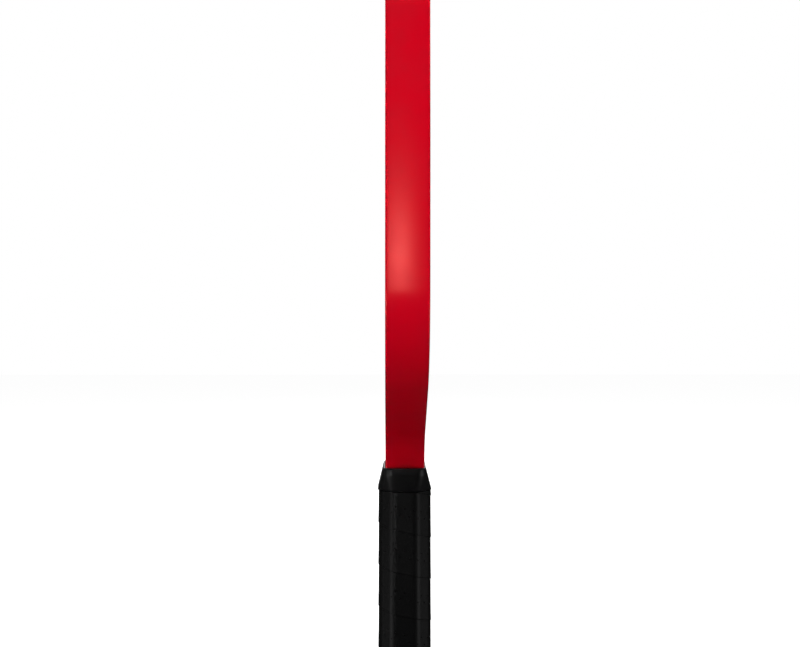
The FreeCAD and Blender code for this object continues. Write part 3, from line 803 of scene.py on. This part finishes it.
# %% Leather grain
WANDER_SCALE, WANDER_REACH = 0.9, 0.9  # how the cells are pushed about
DOME_STEEPNESS = 4.0
PORE_SCALE, PORE_HEIGHT = 6.0, 0.35  # as shares of the pebbles'
leather_grain, ends_in, ends_out = new_group(
    "leather_grain", {"Place": (VECTOR, None), "Pebbles per unit": (FLOAT, 1.4)}, ["Height", "Crease"]
)
place, per_unit = ends_in.outputs["Place"], ends_in.outputs["Pebbles per unit"]
wander = add_node(leather_grain, "ShaderNodeTexNoise", Scale=WANDER_SCALE, Detail=2.0)
new_link(leather_grain, place, wander.inputs["Vector"])
shifted = add_node(leather_grain, "ShaderNodeVectorMath", {"operation": "MULTIPLY_ADD"})
new_link(leather_grain, wander.outputs["Color"], shifted.inputs[0])
shifted.inputs[1].default_value = (WANDER_REACH, WANDER_REACH, WANDER_REACH)
new_link(leather_grain, place, shifted.inputs[2])
pebbles = add_node(leather_grain, "ShaderNodeTexVoronoi", {"feature": "DISTANCE_TO_EDGE"})
new_link(leather_grain, shifted.outputs[0], pebbles.inputs["Vector"])
new_link(leather_grain, per_unit, pebbles.inputs["Scale"])
dome = calculate(leather_grain, "MULTIPLY", pebbles.outputs["Distance"], DOME_STEEPNESS, clamp=True)
pores = noise(leather_grain, place, calculate(leather_grain, "MULTIPLY", per_unit, PORE_SCALE))
height = calculate(leather_grain, "MULTIPLY_ADD", pores, PORE_HEIGHT, dome)
# the ring at each pebble's edge, where the finishes paint shade into the grain's creases
crease = calculate(leather_grain, "SUBTRACT", 1.0, dome)
new_link(leather_grain, height, ends_out.inputs["Height"])
new_link(leather_grain, crease, ends_out.inputs["Crease"])
print("group leather_grain: pebbles from cell edges, with pores")

# %% Rubbed patches
RUBBED_FROM, RUBBED_TO = 0.38, 0.72  # noise at which the patches begin and are full
patch_inputs = {"Place": (VECTOR, None), "Patches per metre": (FLOAT, 30.0), "Amount": (FLOAT, 0.5)}
rubbed, ends_in, ends_out = new_group("rubbed_patches", patch_inputs, ["Mask"])
patch_scale = ends_in.outputs["Patches per metre"]
patches = noise(rubbed, ends_in.outputs["Place"], patch_scale, detail=5.0, roughness=0.6)
smooth = {"interpolation_type": "SMOOTHSTEP"}
stretched = add_node(rubbed, "ShaderNodeMapRange", smooth, From_Min=RUBBED_FROM, From_Max=RUBBED_TO)
new_link(rubbed, patches, stretched.inputs["Value"])
mask = calculate(rubbed, "MULTIPLY", stretched.outputs["Result"], ends_in.outputs["Amount"])
new_link(rubbed, mask, ends_out.inputs["Mask"])
print("group rubbed_patches: soft smudges from 0 to their amount")

# %% Laminate weave
laminate, ends_in, ends_out = new_group(
    "laminate_weave", {"Place": (VECTOR, None), "Tows per metre": (FLOAT, 500.0)}, ["Height", "Over"]
)
split = add_node(laminate, "ShaderNodeSeparateXYZ")
new_link(laminate, ends_in.outputs["Place"], split.inputs[0])
turns = calculate(laminate, "MULTIPLY", ends_in.outputs["Tows per metre"], math.pi)
warp = calculate(laminate, "SINE", calculate(laminate, "MULTIPLY", split.outputs["X"], turns))
weft = calculate(laminate, "SINE", calculate(laminate, "MULTIPLY", split.outputs["Z"], turns))
crossing = calculate(laminate, "MULTIPLY", warp, weft)
# where a tow passes over; the carbon finish also paints the tows' sheen with this as a lighter colour
over = calculate(laminate, "MULTIPLY_ADD", crossing, 0.5, 0.5)
warp_ridge, weft_ridge = calculate(laminate, "ABSOLUTE", warp), calculate(laminate, "ABSOLUTE", weft)
ridges = calculate(laminate, "MAXIMUM", warp_ridge, weft_ridge)
height = calculate(laminate, "MULTIPLY_ADD", over, 0.5, ridges)
new_link(laminate, height, ends_out.inputs["Height"])
new_link(laminate, over, ends_out.inputs["Over"])
print("group laminate_weave: threads that pass over and under each other")

# %% [markdown]
# ## Finishes
#
# The guard is a satin red elastomer, the wrap a cushioned artificial leather, the collar smooth rubber, the
# butt moulded plastic, and the faces carbon laminate under a gritty coat. Painted images could show them, but
# patterns worked out from the place need no unwrapping and stay sharp close up. Every material starts from
# the same few steps: a Principled shader with its fixed values, a colour that drifts between two tones under
# a mask, a roughness that drifts under one too, and a Bump node for the grain. The masks and heights come
# from the groups, so each finish below is only its own sizes and strengths.

# %% Finish helpers
def start_finish(name, attribute=None, **fixed):
    """A material with its shader's fixed values set, and the place its patterns read, in metres or in the
    piece's own attribute."""
    material = bpy.data.materials.new(name)
    material.use_nodes = True
    tree = material.node_tree
    shader = tree.nodes["Principled BSDF"]
    for key, value in fixed.items():
        shader.inputs[key.replace("_", " ")].default_value = value
    if attribute:
        place = add_node(tree, "ShaderNodeAttribute", {"attribute_name": attribute}).outputs["Vector"]
    else:
        place = tree.nodes.new("ShaderNodeTexCoord").outputs["Object"]
    return material, tree, shader, place


def blend_colour(tree, shader, mask, first, second):
    """Base colour that goes from the first to the second as the mask goes from 0 to 1."""
    mix = add_node(tree, "ShaderNodeMix", {"data_type": "RGBA"})
    mix.inputs["A"].default_value = (*first, 1.0)
    mix.inputs["B"].default_value = (*second, 1.0)
    new_link(tree, mask, mix.inputs["Factor"])
    new_link(tree, mix.outputs["Result"], shader.inputs["Base Color"])


def blend_roughness(tree, shader, mask, clean, worn):
    """Roughness that goes from its clean to its worn value as the mask goes from 0 to 1."""
    span = add_node(tree, "ShaderNodeMapRange", To_Min=clean, To_Max=worn)
    new_link(tree, mask, span.inputs["Value"])
    new_link(tree, span.outputs["Result"], shader.inputs["Roughness"])


def emboss(tree, shader, height, depth, strength, onto=None):
    """Grain of a depth in metres, laid over the normal of another Bump node where one is given."""
    bump = add_node(tree, "ShaderNodeBump", Strength=strength, Distance=depth)
    new_link(tree, height, bump.inputs["Height"])
    if onto:
        new_link(tree, onto.outputs["Normal"], bump.inputs["Normal"])
    new_link(tree, bump.outputs["Normal"], shader.inputs["Normal"])
    return bump


def wear_finish(piece, material):
    """The finish becomes the piece's only material."""
    piece.data.materials.clear()
    piece.data.materials.append(material)


# %% Red elastomer of the edge guard
RED = (0.60, 0.0, 0.0105)
RED_RUBBED = (0.55, 0.002, 0.013)
red_elastomer, tree, shader, place = start_finish(
    "red_elastomer", Specular_IOR_Level=0.5, Specular_Tint=(1.0, 0.24, 0.2, 1.0)
)
patches = use_group(tree, rubbed, place, Patches_per_metre=55.0, Amount=0.6)
skin = use_group(tree, moulded_skin, place, Grains_per_metre=2600.0)
blend_colour(tree, shader, patches.outputs["Mask"], RED, RED_RUBBED)
blend_roughness(tree, shader, patches.outputs["Mask"], clean=0.22, worn=0.27)
emboss(tree, shader, skin.outputs["Height"], depth=0.00001, strength=0.35)
wear_finish(guard, red_elastomer)
print("red elastomer on the edge guard")

# %% Cushioned wrap
WRAP_BLACK = (0.0056, 0.0056, 0.0058)
# painted shade: the tone that the grain's creases darken to
WRAP_CREASE = (0.003, 0.003, 0.003)
cushion_leather, tree, shader, place = start_finish(
    "cushion_leather", attribute="strip", Specular_IOR_Level=0.09
)
grain = use_group(tree, leather_grain, place, Pebbles_per_unit=1.3)
palm = use_group(tree, rubbed, place, Patches_per_metre=0.05, Amount=0.8)
# painted shade: the black darkens in the grain's creases, over the bumped grain
blend_colour(tree, shader, grain.outputs["Crease"], WRAP_BLACK, WRAP_CREASE)
blend_roughness(tree, shader, palm.outputs["Mask"], clean=0.35, worn=0.39)
emboss(tree, shader, grain.outputs["Height"], depth=0.00003, strength=0.2)
wear_finish(wrap, cushion_leather)
print("black cushioned leather on the wrap")

# %% Collar rubber
COLLAR_BLACK, COLLAR_DUSTY = (0.006, 0.006, 0.0062), (0.008, 0.008, 0.008)
smooth_rubber, tree, shader, place = start_finish("smooth_rubber", Specular_IOR_Level=0.15)
patches = use_group(tree, rubbed, place, Patches_per_metre=90.0, Amount=0.7)
skin = use_group(tree, moulded_skin, place, Grains_per_metre=3500.0)
blend_colour(tree, shader, patches.outputs["Mask"], COLLAR_BLACK, COLLAR_DUSTY)
blend_roughness(tree, shader, patches.outputs["Mask"], clean=0.31, worn=0.36)
emboss(tree, shader, skin.outputs["Height"], depth=0.00001, strength=0.3)
wear_finish(collar, smooth_rubber)
print("smooth rubber on the collar")

# %% Black plastics of the butt
PLASTIC_BLACK, PLASTIC_SCUFFED = (0.006, 0.006, 0.0065), (0.014, 0.014, 0.014)
for piece, name, grains, base in ((butt, "cap_plastic", 2200.0, 0.42), (plug, "plug_plastic", 3200.0, 0.52)):
    material, tree, shader, place = start_finish(name, Specular_IOR_Level=0.4)
    patches = use_group(tree, rubbed, place, Patches_per_metre=120.0, Amount=0.6)
    skin = use_group(tree, moulded_skin, place, Grains_per_metre=grains)
    blend_colour(tree, shader, patches.outputs["Mask"], PLASTIC_BLACK, PLASTIC_SCUFFED)
    blend_roughness(tree, shader, patches.outputs["Mask"], clean=base, worn=base + 0.14)
    emboss(tree, shader, skin.outputs["Height"], depth=0.00003, strength=0.4)
    wear_finish(piece, material)
    print("moulded plastic:", name)

# %% Carbon skins
# the lighter tone is painted sheen: tows on top get it as if catching the light; the weave's relief is real
# bump
CARBON_DARK, CARBON_LIGHT = (0.012, 0.0125, 0.014), (0.03, 0.031, 0.034)
carbon_laminate, tree, shader, place = start_finish("carbon_laminate", Specular_IOR_Level=0.45)
weave = use_group(tree, laminate, place, Tows_per_metre=500.0)
patches = use_group(tree, rubbed, place, Patches_per_metre=18.0, Amount=0.8)
# painted sheen: lighter where the tows pass over
blend_colour(tree, shader, weave.outputs["Over"], CARBON_DARK, CARBON_LIGHT)
blend_roughness(tree, shader, patches.outputs["Mask"], clean=0.42, worn=0.55)
grit = use_group(tree, moulded_skin, place, Grains_per_metre=1800.0)
tows = emboss(tree, shader, weave.outputs["Height"], depth=0.00002, strength=0.35)
emboss(tree, shader, grit.outputs["Height"], depth=0.00003, strength=0.5, onto=tows)
for node in ("face_sheet_front", "face_sheet_back"):
    wear_finish(nodes[node], carbon_laminate)
print("carbon laminate on both skins")

# %% Hidden pieces
def hidden_finish(name, members, light, dark, grains, depth, roughness, metallic=0.0):
    """A grained finish that drifts between a light and a dark tone, for pieces inside the paddle."""
    material, tree, shader, place = start_finish(name, Metallic=metallic)
    patches = use_group(tree, rubbed, place, Patches_per_metre=140.0, Amount=0.7)
    skin = use_group(tree, moulded_skin, place, Grains_per_metre=grains)
    blend_colour(tree, shader, patches.outputs["Mask"], light, dark)
    blend_roughness(tree, shader, patches.outputs["Mask"], clean=roughness, worn=roughness + 0.1)
    emboss(tree, shader, skin.outputs["Height"], depth=depth, strength=0.6)
    for node in members:
        wear_finish(nodes[node], material)
    print("finish", name, "on", members)


hidden_finish(
    "core_polymer", ["honeycomb_core"], (0.80, 0.82, 0.80), (0.66, 0.69, 0.68),
    grains=900.0, depth=0.00002, roughness=0.38,
)
hidden_finish(
    "veil_fleece", ["core_veil_front", "core_veil_back"], (0.86, 0.86, 0.83), (0.7, 0.7, 0.67),
    grains=2400.0, depth=0.00008, roughness=0.85,
)
hidden_finish(
    "pallet_foam", ["handle_pallet_front", "handle_pallet_back"], (0.72, 0.62, 0.42), (0.58, 0.48, 0.3),
    grains=1300.0, depth=0.00012, roughness=0.8,
)
hidden_finish(
    "staple_wire", ["butt_cap_staples"], (0.62, 0.62, 0.6), (0.42, 0.42, 0.41),
    grains=5000.0, depth=0.00001, roughness=0.3, metallic=1.0,
)
hidden_finish(
    "finishing_tape", ["grip_finishing_tape"], (0.012, 0.012, 0.012), (0.02, 0.02, 0.021),
    grains=1800.0, depth=0.00003, roughness=0.45,
)
